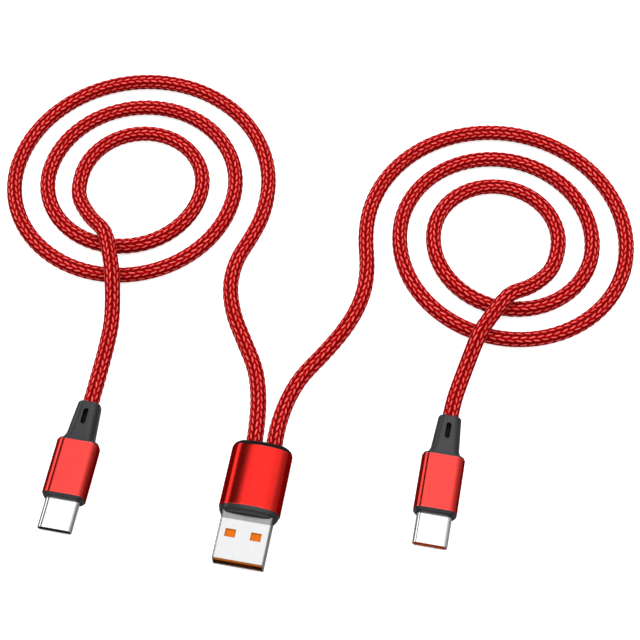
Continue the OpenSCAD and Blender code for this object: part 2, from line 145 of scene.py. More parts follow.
class Finish:
    """A material and the nodes that make it."""

    def __init__(self, name):
        self.material = bpy.data.materials.new(name)
        self.material.use_nodes = True
        self.tree = self.material.node_tree
        self.tree.nodes.clear()

    def node(self, kind, settings=None, sockets=None):
        """Any node, from its settings and then its sockets' values or links."""
        made = self.tree.nodes.new(kind)
        for key, value in (settings or {}).items():
            setattr(made, key, value)
        for key, value in (sockets or {}).items():
            if isinstance(key, int):
                socket = made.inputs[key]
            else:
                socket = next(s for s in made.inputs if key in (s.identifier, s.name))
            if isinstance(value, Signal):
                self.tree.links.new(value.socket, socket)
            elif socket.type == "RGBA":
                socket.default_value = (*value, 1)
            else:
                socket.default_value = value
        return made

    def math(self, operation, *values):
        made = self.node("ShaderNodeMath", {"operation": operation}, dict(enumerate(values)))
        return Signal(self, made.outputs[0])

    def blend(self, share, first, second):
        """Colour between first and second."""
        made = self.node(
            "ShaderNodeMix",
            {"data_type": "RGBA"},
            {"Factor_Float": share, "A_Color": first, "B_Color": second},
        )
        return Signal(self, made.outputs[MIXED_COLOUR])

    def place(self, stretch=(1, 1, 1)):
        """Position in millimetres, stretched along each axis."""
        where = self.node("ShaderNodeTexCoord")
        made = self.node(
            "ShaderNodeVectorMath",
            {"operation": "MULTIPLY"},
            {0: Signal(self, where.outputs["Object"]), 1: [s / MM for s in stretch]},
        )
        return Signal(self, made.outputs[0])

    def noise(self, where, scale, detail=2.0, roughness=0.5):
        made = self.node(
            "ShaderNodeTexNoise",
            {},
            {"Vector": where, "Scale": scale, "Detail": detail, "Roughness": roughness},
        )
        return Signal(self, made.outputs[0])

    def attribute(self, name):
        made = self.node("ShaderNodeAttribute", {"attribute_name": name})
        return Signal(self, made.outputs["Fac"])

    def relief(self, height, distance, strength):
        """Normal of a surface with this height, where 1 is distance metres high."""
        made = self.node(
            "ShaderNodeBump",
            {},
            {"Height": height, "Distance": distance, "Strength": strength},
        )
        return Signal(self, made.outputs[0])

    def surface(self, sockets):
        made = self.node("ShaderNodeBsdfPrincipled", {}, sockets)
        end = self.node("ShaderNodeOutputMaterial")
        self.tree.links.new(made.outputs[0], end.inputs[0])
        return self.material


# The braid has columns of stitches round the cord. Neighbouring columns lean
# towards each other, in pairs, and a stitch is widest and highest in its middle.
BRAID_COLUMNS = 12
STITCH = 2.1 * MM
STITCH_LEAN = 0.36
STITCH_SLOPE = 0.12
STITCH_PAIRING = 0.06
STITCH_NARROWNESS = 2.1
STITCH_BLUNTNESS = 0.45
THREAD_RATE = 44
FULL_TURN = 6.28
# Painted shade for the braid's gaps, its red, and a painted highlight for the stitches' crowns
BRAID_GAP_SHADE = (0.13, 0.0, 0.0)
BRAID_RED = (0.45, 0.0005, 0.0015)
BRAID_CROWN_HIGHLIGHT = (1.0, 0.2, 0.18)


def braid_finish():
    """Woven yarn, laid out by the cord's own braid coordinates."""
    f = Finish("braided_red_yarn")
    here = f.node("ShaderNodeUVMap", {"uv_map": "braid"})
    parts = f.node("ShaderNodeSeparateXYZ", {}, {0: Signal(f, here.outputs[0])})
    across = Signal(f, parts.outputs[0])
    along = Signal(f, parts.outputs[1])
    column = across.floor()
    odd = column % 2
    lean = 1 - 2 * odd
    side = across - column - 0.5 - lean * STITCH_PAIRING
    run = along + 0.5 * odd - lean * STITCH_SLOPE * side
    stitch = run.floor()
    share = run - stitch
    offset = side - lean * STITCH_LEAN * (share - 0.5)
    bow = (share * (1 - share) * 4).clamped()
    crown = (1 - (offset * STITCH_NARROWNESS) ** 2).clamped()
    crest = crown * bow ** STITCH_BLUNTNESS
    # Each stitch has its own tone, and the yarn's threads run along it
    cell = f.node("ShaderNodeCombineXYZ", {}, {0: column % BRAID_COLUMNS, 1: stitch, 2: 0.5})
    own = f.node("ShaderNodeTexWhiteNoise", {}, {"Vector": Signal(f, cell.outputs[0])})
    tone = Signal(f, own.outputs[0])
    threads = f.math("SINE", offset * THREAD_RATE + tone * FULL_TURN) * 0.5 + 0.5
    fuzz = f.noise(f.place(), 3.2, 3.0, 0.6)
    # Painted shade where two columns meet and in the gaps round each stitch, red on the stitches,
    # and a painted highlight on their crowns
    valley_shade = (-1 * side * lean).step(0.12, 0.45)
    unshaded_share = (crest.step(0.04, 0.46) * (1 - 0.55 * valley_shade)).clamped()
    glow = crown.step(0.82, 0.99) * bow.step(0.35, 0.95) * (0.6 + 0.6 * tone)
    colour = f.blend(unshaded_share, BRAID_GAP_SHADE, BRAID_RED)
    crown_highlight_share = (glow * (0.75 + 0.3 * threads) * (0.75 + 0.5 * fuzz)).clamped()
    colour = f.blend(crown_highlight_share, colour, BRAID_CROWN_HIGHLIGHT)
    height = crest + 0.16 * threads + 0.15 * fuzz
    return f.surface(
        {
            "Base Color": colour,
            "Roughness": (0.66 - 0.2 * crest + 0.1 * fuzz).clamped(),
            "Specular IOR Level": 0.04,
            "Sheen Weight": 0.02,
            "Sheen Roughness": 0.4,
            "Sheen Tint": (1.0, 0.1, 0.08),
            "Normal": f.relief(height, 0.07 * MM, 0.8),
        }
    )


ANODISED_GRAZE = (0.55, 0.03, 0.025)
GRAIN_RELIEF = 0.004 * MM


def anodised_finish(name, colour, rim_wear_and_glint, soft):
    """Blasted and dyed aluminium, rubbed bright along its rims, with a painted highlight laid
    over the same rims.
    """
    f = Finish(name)
    where = f.place()
    grain = f.noise(where, 9.0, 2.0, 0.6)
    cloud = f.noise(where, 0.35, 3.0)
    streak = f.noise(f.place((3.5, 0.12, 3.5)), 1.0, 2.0)
    rim = f.attribute("rim")
    # Rims worn bright, with a painted rim highlight in the same mask
    wear_and_glint = (rim * (0.25 + 1.1 * f.noise(where, 1.6, 4.0, 0.65))).step(0.6, 1.2)
    darker = [c * 0.72 for c in colour]
    shade = f.blend((0.25 * cloud + 0.2 * streak).clamped(), colour, darker)
    shade = f.blend(wear_and_glint * 0.8, shade, rim_wear_and_glint)
    return f.surface(
        {
            "Base Color": shade,
            "Metallic": 1.0,
            "Specular Tint": ANODISED_GRAZE,
            "Roughness": (soft + 0.08 * grain + 0.05 * cloud - 0.05 * wear_and_glint).clamped(),
            "Normal": f.relief(grain + 0.4 * streak, GRAIN_RELIEF, 0.4),
        }
    )


def plated_finish(name, colour, roughness, along, collar=False):
    """Plated sheet metal with fine drawing lines. With a bezel shade, a band
    next to the bezel gets painted shade and a little more roughness; a piece marks it with its
    collar attribute."""
    f = Finish(name)
    where = f.place()
    lines = f.noise(f.place(along), 1.0, 3.0, 0.6)
    cloud = f.noise(where, 0.5, 2.0)
    spots = f.noise(where, 4.5, 3.0, 0.6)
    darker = [c * 0.86 for c in colour]
    shade = f.blend((0.5 * lines + 0.35 * cloud).clamped(), colour, darker)
    dull = 0.0
    # Painted shade in a band where the shell meets the bezel
    if collar:
        shade_band = f.attribute("collar")
        painted_shade = [c * 0.45 for c in colour]
        shade = f.blend((shade_band * (0.8 + 0.3 * lines)).clamped(), shade, painted_shade)
        dull = 0.15 * shade_band
    return f.surface(
        {
            "Base Color": shade,
            "Metallic": 1.0,
            "Roughness": (roughness + 0.1 * lines + 0.07 * spots + dull).clamped(),
            "Normal": f.relief(lines + 0.3 * spots, GRAIN_RELIEF, 0.4),
        }
    )


MOULD_RELIEF = 0.012 * MM


def moulded_finish(name, colour, roughness, gloss=0.5):
    """Moulded plastic with a fine eroded grain, a little paler at its rims."""
    f = Finish(name)
    where = f.place()
    grain = f.noise(where, 5.5, 3.0, 0.6)
    cloud = f.noise(where, 0.6, 2.0)
    rim = f.attribute("rim")
    darker = [c * 0.7 for c in colour]
    paler = [c * 1.5 + 0.01 for c in colour]
    shade = f.blend((0.3 * grain + 0.3 * cloud).clamped(), colour, darker)
    shade = f.blend((rim * (0.3 + 0.7 * grain)).clamped(), shade, paler)
    return f.surface(
        {
            "Base Color": shade,
            "Roughness": (roughness - 0.06 + 0.14 * grain + 0.05 * cloud).clamped(),
            "Specular IOR Level": gloss,
            "Normal": f.relief(grain + 0.5 * cloud, MOULD_RELIEF, 0.6),
        }
    )


TRACES_PER_MM = 1.3
BOARD_GREEN = (0.012, 0.1, 0.035)
TRACE_GREEN = (0.03, 0.2, 0.07)
CLOUD_GREEN = (0.008, 0.06, 0.02)


def board_finish():
    """Green lacquered board with paler traces under the lacquer."""
    f = Finish("green_circuit_board")
    where = f.place()
    parts = f.node("ShaderNodeSeparateXYZ", {}, {0: where})
    across = Signal(f, parts.outputs[0])
    lane = (across * TRACES_PER_MM) % 1
    trace = (lane - 0.5).absolute().step(0.16, 0.2)
    cloud = f.noise(where, 1.5, 2.0)
    shade = f.blend(trace, TRACE_GREEN, BOARD_GREEN)
    shade = f.blend(cloud * 0.4, shade, CLOUD_GREEN)
    return f.surface(
        {
            "Base Color": shade,
            "Roughness": (0.25 + 0.15 * cloud).clamped(),
            "Normal": f.relief(1 - trace, 0.02 * MM, 0.6),
        }
    )


# How far each metal's fine lines are drawn out along the plug
ALONG_PLUG = (4.0, 0.15, 4.0)
ALONG_CONTACT = (3.0, 0.3, 3.0)
ALONG_SPRING = (4.0, 0.4, 4.0)
EVEN_GRAIN = (1.5, 1.5, 1.5)

BRAID = braid_finish()
# Each sleeve's second colour is its worn rims with a painted rim highlight
HOST_RED = anodised_finish("anodised_red_aluminium", (0.52, 0.017, 0.014), (0.7, 0.12, 0.1), 0.16)
CORAL_RED = anodised_finish(
    "anodised_coral_aluminium", (0.55, 0.04, 0.035), (0.75, 0.16, 0.14), 0.13
)
# The wide shell has painted shade next to its bezel
HOST_SHELL = plated_finish("nickel_plated_wide_shell", (0.4, 0.401, 0.403), 0.1, ALONG_PLUG, True)
BRIGHT_SHELL = plated_finish("nickel_plated_oval_shell", (0.56, 0.562, 0.568), 0.1, ALONG_PLUG)
GREY_TRIM = moulded_finish("dark_grey_moulding", (0.0075, 0.0078, 0.0105), 0.34, 0.44)
CAP_BLACK = moulded_finish("soft_black_moulding", (0.0025, 0.0025, 0.003), 0.42, 0.1)
JACKET = moulded_finish("black_cord_jacket", (0.003, 0.003, 0.0035), 0.55, 0.1)
ORANGE = moulded_finish("orange_insulator", (0.82, 0.175, 0.005), 0.5, 0.08)
BROWN = moulded_finish("brown_insulator", (0.6, 0.085, 0.004), 0.5, 0.08)
BLACK_INSULATOR = moulded_finish("black_insulator", (0.004, 0.004, 0.005), 0.5, 0.1)
GOLD = plated_finish("gold_plated_contact", (0.95, 0.68, 0.28), 0.2, ALONG_CONTACT)
TIN = plated_finish("tin_solder", (0.75, 0.76, 0.78), 0.3, EVEN_GRAIN)
SPRING = plated_finish("spring_steel", (0.62, 0.62, 0.63), 0.25, ALONG_SPRING)
BOARD = board_finish()
CORE = moulded_finish("white_inner_mould", (0.72, 0.69, 0.6), 0.5)
COMPONENT = moulded_finish("black_component_body", (0.015, 0.015, 0.017), 0.35)
RED_WIRE = moulded_finish("red_wire_insulation", (0.5, 0.012, 0.012), 0.38)
BLACK_WIRE = moulded_finish("black_wire_insulation", (0.012, 0.012, 0.012), 0.38)
GREEN_WIRE = moulded_finish("green_wire_insulation", (0.015, 0.22, 0.05), 0.38)
WHITE_WIRE = moulded_finish("white_wire_insulation", (0.75, 0.75, 0.73), 0.38)

CAD_FINISHES = {
    "insulator": ORANGE,
    "contacts": GOLD,
    "latch": SPRING,
    "ground_springs": SPRING,
    "board": BOARD,
    "resistor": COMPONENT,
    "solder": TIN,
    "core": CORE,
    "wire_red": RED_WIRE,
    "wire_black": BLACK_WIRE,
    "wire_green": GREEN_WIRE,
    "wire_white": WHITE_WIRE,
}
OWN_FINISHES = {"left_insulator": BLACK_INSULATOR, "right_insulator": BROWN}


def finish_inner_parts():
    """The parts inside the plugs keep their own shapes and get these finishes."""
    for name, piece in nodes.items():
        part = name.split("_", 1)[1]
        if part in CAD_FINISHES:
            piece.data.materials.clear()
            piece.data.materials.append(OWN_FINISHES.get(name, CAD_FINISHES[part]))


# Cords ------------------------------------------------------------------

# All in millimetres. The braid stands on the cord between GAP_R and CORD_R.
CORD_R = 2.0
GAP_R = 1.78
COIL_Y = 85.0
COIL_R = 35.7
COIL_PITCH = 8.7
COIL_HALF_TURNS = 5
LEFT_COIL_X = -49.4
RIGHT_COIL_X = 49.0
POINTS_PER_HALF_TURN = 16
RING_STEP = 0.36
POINTS_PER_COLUMN = 5
CURVE_POINTS = 24
SMOOTHING_PASSES = 40
PATH_STRIDE = 4

# Routes from the wide plug to each coil, and from each coil to its own plug
LEFT_LEAD = [
    (-2.4, 15, 4.1), (-2.96, 21.3, 3.6), (-4.1, 28.3, 2.52), (-6.47, 36, 2),
    (-11, 43.7, 2), (-15.06, 50.7, 2), (-17.54, 58.4, 2), (-17.54, 66.1, 2),
    (-15.51, 73.1, 2), (-14.04, 79.4, 2),
]
RIGHT_LEAD = [
    (2.4, 15, 4.1), (2.2, 21.3, 3.41), (2.94, 29, 2.31), (5.02, 36, 2),
    (8.94, 43, 2), (12.54, 50, 2), (15.04, 57, 2), (16.02, 64, 2),
    (15.48, 71, 2), (13.95, 78, 2),
]
LEFT_TAIL = [
    (-63.35, 85, 2), (-62.37, 78.04, 2), (-57.45, 71.49, 3.26),
    (-52.94, 67.2, 5.9), (-50.97, 64.5, 6.2), (-47.43, 55.8, 6.2),
    (-46.45, 52.5, 5.78), (-45.47, 48.05, 3.76), (-44.5, 42.1, 2.2),
    (-44.1, 35.1, 2), (-43.9, 27.3, 2.3), (-43.7, 18.8, 3),
]
RIGHT_TAIL = [
    (62.95, 85, 2), (61.93, 78.04, 2), (57.43, 71.49, 3.26),
    (52.93, 67.2, 5.9), (51.1, 64.5, 6.2), (47, 55.8, 6.2),
    (45.98, 52.6, 5.78), (44.95, 48.35, 3.76), (43.93, 43.4, 2.42),
    (42.9, 37.4, 2.3), (42.5, 30.9, 3),
]
HOST_EXIT_DEPTH = 2.6
NECK_DEPTH = 1.35


def coil_points(centre_x, side):
    """Middle line of a flat coil of half rings, each smaller than the last."""
    points = []
    for turn in range(COIL_HALF_TURNS):
        radius = COIL_R - (2 * turn + 1) * COIL_PITCH / 4
        flip = 1 - 2 * (turn % 2)
        for step in range(POINTS_PER_HALF_TURN):
            angle = math.pi * step / POINTS_PER_HALF_TURN
            x = flip * (COIL_PITCH / 4 + radius * math.cos(angle))
            y = flip * radius * math.sin(angle)
            points.append((centre_x + side * x, COIL_Y + y, CORD_R))
    return points


def even_line(points, step):
    """The same line as points a step apart."""
    run = np.concatenate([[0], np.cumsum(np.linalg.norm(np.diff(points, axis=0), axis=1))])
    places = np.linspace(0, run[-1], round(run[-1] / step) + 1)
    return np.column_stack([np.interp(places, run, points[:, k]) for k in range(3)])


def smooth_line(points, step):
    """One smooth curve through the points, as points a step apart."""
    p = np.array(points, float)
    p = np.vstack([2 * p[0] - p[1], p, 2 * p[-1] - p[-2]])
    pieces = []
    t = np.linspace(0, 1, CURVE_POINTS, endpoint=False)[:, None]
    for a, b, c, d in zip(p, p[1:], p[2:], p[3:]):
        curve = 2 * b + (c - a) * t + (2 * a - 5 * b + 4 * c - d) * t ** 2
        pieces.append(0.5 * (curve + (3 * b - a - 3 * c + d) * t ** 3))
    line = even_line(np.vstack(pieces + [p[-2:-1]]), step)
    for _ in range(SMOOTHING_PASSES):
        line[1:-1] = 0.25 * line[:-2] + 0.5 * line[1:-1] + 0.25 * line[2:]
    line[:, 2] = np.maximum(line[:, 2], CORD_R)
    return even_line(line, step)


def stitch_height(across, along):
    """How proud the braid stands, from 0 in its gaps to 1 on its stitches."""
    column = np.floor(across)
    odd = column % 2
    lean = 1 - 2 * odd
    side = across - column - 0.5 - lean * STITCH_PAIRING
    run = along + 0.5 * odd - lean * STITCH_SLOPE * side
    share = run - np.floor(run)
    offset = side - lean * STITCH_LEAN * (share - 0.5)
    bow = np.clip(4 * share * (1 - share), 0, 1)
    crown = np.clip(1 - (offset * STITCH_NARROWNESS) ** 2, 0, 1)
    return crown * bow ** STITCH_BLUNTNESS


def new_piece(name, mesh, material, stands_for):
    """A visible piece that hides the CAD nodes it stands for."""
    mesh.materials.append(material)
    piece = bpy.data.objects.new(name, mesh)
    scene.collection.objects.link(piece)
    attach(piece, "root")
    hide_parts(*stands_for)
    return piece


def make_cord(name, route, stands_for):
    """A braided cord as one tube along its route, with every stitch raised."""
    line = smooth_line(route, RING_STEP)
    ahead = np.gradient(line, axis=0)
    ahead /= np.linalg.norm(ahead, axis=1)[:, None]
    side = np.cross(ahead, (0, 0, 1))
    side /= np.linalg.norm(side, axis=1)[:, None]
    up = np.cross(side, ahead)
    rings = len(line)
    around = BRAID_COLUMNS * POINTS_PER_COLUMN
    run = np.arange(rings) * RING_STEP
    # The columns wander a little round the cord
    twist = 0.35 * np.sin(run / 23) + 0.3 * np.sin(run / 41 + 1)
    across = np.arange(around + 1)[None, :] / POINTS_PER_COLUMN + twist[:, None]
    along = np.repeat((run * MM / STITCH)[:, None], around + 1, axis=1)
    radius = GAP_R + (CORD_R - GAP_R) * stitch_height(across, along)[:, :-1]
    angle = 2 * math.pi * np.arange(around) / around
    sine, cosine = np.sin(angle)[None, :, None], np.cos(angle)[None, :, None]
    out = sine * side[:, None] + cosine * up[:, None]
    corners = (line[:, None] + radius[:, :, None] * out).reshape(-1, 3) * MM
    first = (np.arange(rings - 1) * around)[:, None]
    here = np.arange(around)[None, :]
    beside = (here + 1) % around
    faces = np.stack(
        [first + here, first + around + here, first + around + beside, first + beside], axis=2
    ).reshape(-1, 4)
    mesh = bpy.data.meshes.new(name)
    ends = [list(range(around)), [(rings - 1) * around + k for k in range(around)][::-1]]
    mesh.from_pydata(corners.tolist(), [], faces.tolist() + ends)
    ring = np.repeat(np.arange(rings - 1), around)
    spot = np.tile(np.arange(around), rings - 1)
    uv = np.stack(
        [
            np.column_stack([across[ring, spot], along[ring, spot]]),
            np.column_stack([across[ring + 1, spot], along[ring + 1, spot]]),
            np.column_stack([across[ring + 1, spot + 1], along[ring + 1, spot + 1]]),
            np.column_stack([across[ring, spot + 1], along[ring, spot + 1]]),
        ],
        axis=1,
    ).reshape(-1, 2)
    uv = np.vstack([uv, np.zeros((2 * around, 2))])
    mesh.uv_layers.new(name="braid").uv.foreach_set("vector", uv.astype(np.float32).ravel())
    mesh.shade_smooth()
    piece = new_piece(name, mesh, BRAID, stands_for)
    return piece, line


def cord_route(lead, coil, tail):
    """The whole route, from inside the rear cap to inside the strain relief."""
    start = (lead[0][0], lead[0][1] - HOST_EXIT_DEPTH, lead[0][2])
    end = (tail[-1][0], tail[-1][1] - NECK_DEPTH, tail[-1][2])
    return [start] + lead + coil + tail + [end]


left_cord, left_line = make_cord(
    "left_cord",
    cord_route(LEFT_LEAD, coil_points(LEFT_COIL_X, 1), LEFT_TAIL),
    ("left_lead", "left_coil", "left_tail"),
)
right_cord, right_line = make_cord(
    "right_cord",
    cord_route(RIGHT_LEAD, coil_points(RIGHT_COIL_X, -1), RIGHT_TAIL),
    ("right_lead", "right_coil", "right_tail"),
)


# Outlines ---------------------------------------------------------------

# Directions at which every outline is sampled, closer together at corners, in
# degrees. Every second quarter is the mirror image of the one before it.
EVEN_DIRECTIONS = list(np.linspace(0, 90, 36, endpoint=False))
CORNER_DIRECTIONS = list(np.linspace(36.3, 50.3, 13))
QUARTER = sorted(EVEN_DIRECTIONS + CORNER_DIRECTIONS)
MIRRORED = [0] + [90 - q for q in QUARTER[:0:-1]]
ARC_POINTS = 40
DIRECTIONS = (
    QUARTER
    + [q + 90 for q in MIRRORED]
    + [q + 180 for q in QUARTER]
    + [q + 270 for q in MIRRORED]
)


def arc(x, z, r, a0, a1):
    """Points on an arc about (x, z), from angle a0 to angle a1."""
    angles = np.radians(np.linspace(a0, a1, ARC_POINTS))
    return np.column_stack([x + r * np.cos(angles), z + r * np.sin(angles)])


def sampled(points):
    """A closed outline, as its points in the DIRECTIONS."""
    w, h = np.abs(points).max(axis=0)
    angle = np.degrees(np.arctan2(points[:, 1] / h, points[:, 0] / w)) % 360
    order = np.argsort(angle, kind="stable")
    angle, points = angle[order], points[order]
    angle = np.concatenate([angle[-3:] - 360, angle, angle[:3] + 360])
    points = np.vstack([points[-3:], points, points[:3]])
    return np.column_stack([np.interp(DIRECTIONS, angle, points[:, k]) for k in (0, 1)])


def round_box(w, h, r):
    """A rectangle, w by h, with corners of radius r."""
    x, z = w / 2 - r, h / 2 - r
    return sampled(
        np.vstack([
            arc(x, z, r, 0, 90), arc(-x, z, r, 90, 180),
            arc(-x, -z, r, 180, 270), arc(x, -z, r, 270, 360),
        ])
    )


def oval(w, h, r):
    """Sides of radius r joined smoothly by wide arcs above and below."""
    side_x = w / 2 - r
    rise = h / 2 - r
    drop = (side_x ** 2 - rise ** 2) / (2 * rise)
    wide = drop + h / 2
    half = math.degrees(math.atan(side_x / drop))
    return sampled(
        np.vstack([
            arc(side_x, 0, r, half - 90, 90 - half),
            arc(0, -drop, wide, 90 - half, 90 + half),
            arc(-side_x, 0, r, 90 + half, 270 - half),
            arc(0, drop, wide, 270 - half, 270 + half),
        ])
    )


def circle(d, x=0.0):
    """Outline of a circle of diameter d, about x."""
    angles = np.radians(DIRECTIONS)
    return np.column_stack([x + d / 2 * np.cos(angles), d / 2 * np.sin(angles)])


def span(node, axis):
    """Where a node begins and ends along an axis, in millimetres."""
    low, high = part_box(node)
    return low[axis] / MM, high[axis] / MM


def size(node, axis):
    """How long a node is along an axis, in millimetres."""
    low, high = span(node, axis)
    return high - low


# The wide plug, whose places along Y count from its mouth. An outline is its
# width, its height and the radius of its corners or sides.
A_MOUTH_Y = span("host_shell", 1)[0]
A_Z = sum(span("host_shell", 2)) / 2
A_SLEEVE = (size("host_sleeve", 0), size("host_sleeve", 2), 3.6)
A_SHELL = (size("host_shell", 0), size("host_shell", 2), 0.5)
A_SHEET = 0.3
A_SHELL_LEN = size("host_shell", 1)
A_SHELL_OUT = span("host_front_bezel", 1)[0] - A_MOUTH_Y
A_SLEEVE_Y, A_CAP_Y = (y - A_MOUTH_Y for y in span("host_sleeve", 1))
A_CORE_END, A_LEN = (y - A_MOUTH_Y for y in span("host_rear_cap", 1))
A_CORD_X = 2.4
A_CORDS_X = (-A_CORD_X, A_CORD_X)
A_WINDOW_X = 3
A_WINDOW_Y = 6.4
A_WINDOW = (2.5, 2.0, 0.12)
BEZEL_DEPTH = 1.5
# Cuts through the bezel and the cap begin and end clear of them
A_BEZEL_FRONT, A_BEZEL_BACK = 10, 16
A_HOLE_FRONT, A_HOLE_BACK = 24, 32
# The painted shade on the shell next to the bezel ends this far from it
BEZEL_SHADE_LEN = 1.45
BEZEL_SHADE_EDGES = (BEZEL_SHADE_LEN + 0.03, BEZEL_SHADE_LEN - 0.03)
HOST = (0.0, A_MOUTH_Y, A_Z)

# The two oval plugs
C_MOUTH_Y = span("left_shell", 1)[0]
C_Z = sum(span("left_shell", 2)) / 2
C_SLEEVE = (size("left_sleeve", 0), size("left_sleeve", 2), 2.2)
C_SHELL = (size("left_shell", 0), size("left_shell", 2), 1.199)
C_SHEET = 0.25
C_SHELL_LEN = size("left_shell", 1)
C_SHELL_OUT = span("left_front_bezel", 1)[0] - C_MOUTH_Y
C_SLEEVE_Y, C_RELIEF_Y = (y - C_MOUTH_Y for y in span("left_sleeve", 1))
C_CORE_END, C_LEN = (y - C_MOUTH_Y for y in span("left_strain_relief", 1))

WALL = 0.5
FIT_GAP = 0.05
SHELL_LIP = 0.11
SLEEVE_LIP = 0.12
JACKET_D = 3.0
JACKET_TIP_D = 2.7
JACKET_WAVE = 0.03
JACKET_STEP = 0.5
JACKET_BORE = 3.1
CORD_BORE = 4.1


def a_outline(inset):
    w, h, r = A_SLEEVE
    return oval(w - 2 * inset, h - 2 * inset, r - inset)


def a_shell_outline(inset):
    w, h, r = A_SHELL
    return round_box(w - 2 * inset, h - 2 * inset, max(r - inset / 2, 0.1))


def c_outline(inset):
    w, h, r = C_SLEEVE
    return round_box(w - 2 * inset, h - 2 * inset, r - inset)


def c_shell_outline(inset):
    w, h, r = C_SHELL
    return round_box(w - 2 * inset, h - 2 * inset, r - inset)


# Solid pieces -----------------------------------------------------------


def loft(name, stations, origin, closed=False):
    """Mesh through outlines, given as (y, outline, rim). A closed loft runs
    back to its first station; any other is capped at both ends."""
    ox, oy, oz = origin
    count = len(DIRECTIONS)
    corners, rims = [], []
    for y, outline, rim in stations:
        corners += [((ox + x) * MM, (oy + y) * MM, (oz + z) * MM) for x, z in outline]
        rims += [rim] * count
    faces = []
    last = len(stations) if closed else len(stations) - 1
    for i in range(last):
        a, b = i * count, (i + 1) % len(stations) * count
        for k in range(count):
            j = (k + 1) % count
            faces.append((a + k, b + k, b + j, a + j))
    if not closed:
        faces.append(tuple(range(count)))
        faces.append(tuple((len(stations) - 1) * count + k for k in range(count - 1, -1, -1)))
    mesh = bpy.data.meshes.new(name)
    mesh.from_pydata(corners, [], faces)
    mesh.attributes.new("rim", "FLOAT", "POINT").data.foreach_set("value", rims)
    b = bmesh.new()
    b.from_mesh(mesh)
    bmesh.ops.remove_doubles(b, verts=b.verts, dist=1e-7)
    bmesh.ops.recalc_face_normals(b, faces=b.faces)
    b.to_mesh(mesh)
    b.free()
    return mesh


def cut(mesh, cutters):
    """mesh with each cutter's solid taken out of it."""
    unshaded_share = bpy.data.objects.new("unshaded_share", mesh)
    scene.collection.objects.link(unshaded_share)
    tools = []
    for cutter in cutters:
        tool = bpy.data.objects.new("cutter", cutter)
        scene.collection.objects.link(tool)
        modifier = unshaded_share.modifiers.new("cut", "BOOLEAN")
        modifier.object = tool
        modifier.operation = "DIFFERENCE"
        modifier.solver = "EXACT"
        tools.append(tool)
    bpy.context.view_layer.update()
    shown = unshaded_share.evaluated_get(bpy.context.evaluated_depsgraph_get())
    made = bpy.data.meshes.new_from_object(shown)
    for o in tools + [unshaded_share]:
        bpy.data.objects.remove(o)
    return made


SHARP_EDGE = 32


def smooth(mesh):
    """mesh shaded smooth, apart from edges that turn by more than SHARP_EDGE."""
    mesh.shade_smooth()
    mesh.set_sharp_from_angle(angle=math.radians(SHARP_EDGE))
    return mesh


# A rounded lip, as shares of its size: how far in, and how far back
LIP = [(1.0, 0.0), (0.45, 0.12), (0.12, 0.45), (0.0, 1.0)]
# Share of rim wear and painted rim highlight on a tube's inner lips
INNER_LIP_WEAR_AND_GLINT = 0.6
# How far a lip's wear and painted rim highlight fade, in lips, and the first station past it
LIP_FADE = 4
PAST_LIP = len(LIP) + 1
# Further up and down than any plug
CUTTER_REACH = 5


def ring_stations(outline, y0, y1, wall, lip):
    """Stations of a hollow tube with rounded lips, for a closed loft."""
    front, back = y0 + LIP_FADE * lip, y1 - LIP_FADE * lip
    outer = [(y0 + lip * b, outline(lip * a), 1.0) for a, b in LIP]
    outer += [(front, outline(0), 0.0), (back, outline(0), 0.0)]
    outer += [(y1 - lip * b, outline(lip * a), 1.0) for a, b in LIP[::-1]]
    inner = [(y1 - lip * b, outline(wall - lip * a), INNER_LIP_WEAR_AND_GLINT) for a, b in LIP]
    inner += [(back, outline(wall), 0.0), (front, outline(wall), 0.0)]
    inner += [(y0 + lip * b, outline(wall - lip * a), INNER_LIP_WEAR_AND_GLINT) for a, b in LIP[::-1]]
    return outer + inner


def prism(outline, y0, y1, origin):
    """Solid straight along Y from y0 to y1."""
    return loft("prism", [(y0, outline, 0.0), (y1, outline, 0.0)], origin)


def upright(outline, centre, origin):
    """Solid straight up through a plug, with its outline in X and Y."""
    mesh = loft("upright", [(0, outline, 0.0), (1, outline, 0.0)], (0, 0, 0))
    middle = Vector(origin) + Vector((*centre, 0))
    for v in mesh.vertices:
        x, y, z = v.co / MM
        level = CUTTER_REACH if y > 0.5 else -CUTTER_REACH
        v.co = (middle + Vector((x, z, level))) * MM
    b = bmesh.new()
    b.from_mesh(mesh)
    bmesh.ops.recalc_face_normals(b, faces=b.faces)
    b.to_mesh(mesh)
    b.free()
    return mesh


def make_tube(name, outline, y0, y1, wall, lip, origin):
    """A hollow tube with rounded lips."""
    return loft(name, ring_stations(outline, y0, y1, wall, lip), origin, True)


def jacket_mesh(x, y0, y1, origin):
    """Bare jacket of a cord, faintly wavy where the braid pressed on it."""
    stations = [(y0, circle(JACKET_TIP_D, x), 0.0)]
    steps = max(4, round((y1 - y0) / JACKET_STEP))
    for i in range(1, steps + 1):
        y = y0 + (y1 - y0) * i / steps
        d = JACKET_D - JACKET_WAVE * (1 + math.sin(i * 1.9))
        stations.append((y, circle(d, x), 0.0))
    return loft("jacket", stations, origin)


def make_host_shell():
    stations = ring_stations(a_shell_outline, 0, A_SHELL_LEN, A_SHEET, SHELL_LIP)
    for place, y in enumerate(BEZEL_SHADE_EDGES):
        stations.insert(PAST_LIP + place, (A_SHELL_OUT - y, a_shell_outline(0), 0.0))
    shell = loft("host_metal_shell", stations, HOST, True)
    # The shell's band next to the bezel gets painted shade
    collar = shell.attributes.new("collar", "FLOAT", "POINT").data
    for vertex, value in zip(shell.vertices, collar):
        from_bezel = A_SHELL_OUT + A_MOUTH_Y - vertex.co.y / MM
        value.value = 1.0 if from_bezel < BEZEL_SHADE_LEN else 0.0
    window = round_box(*A_WINDOW)
    windows = [upright(window, (x, A_WINDOW_Y), HOST) for x in (-A_WINDOW_X, A_WINDOW_X)]
    shell = smooth(cut(shell, windows))
    new_piece("host_metal_shell", shell, HOST_SHELL, ("host_shell",))


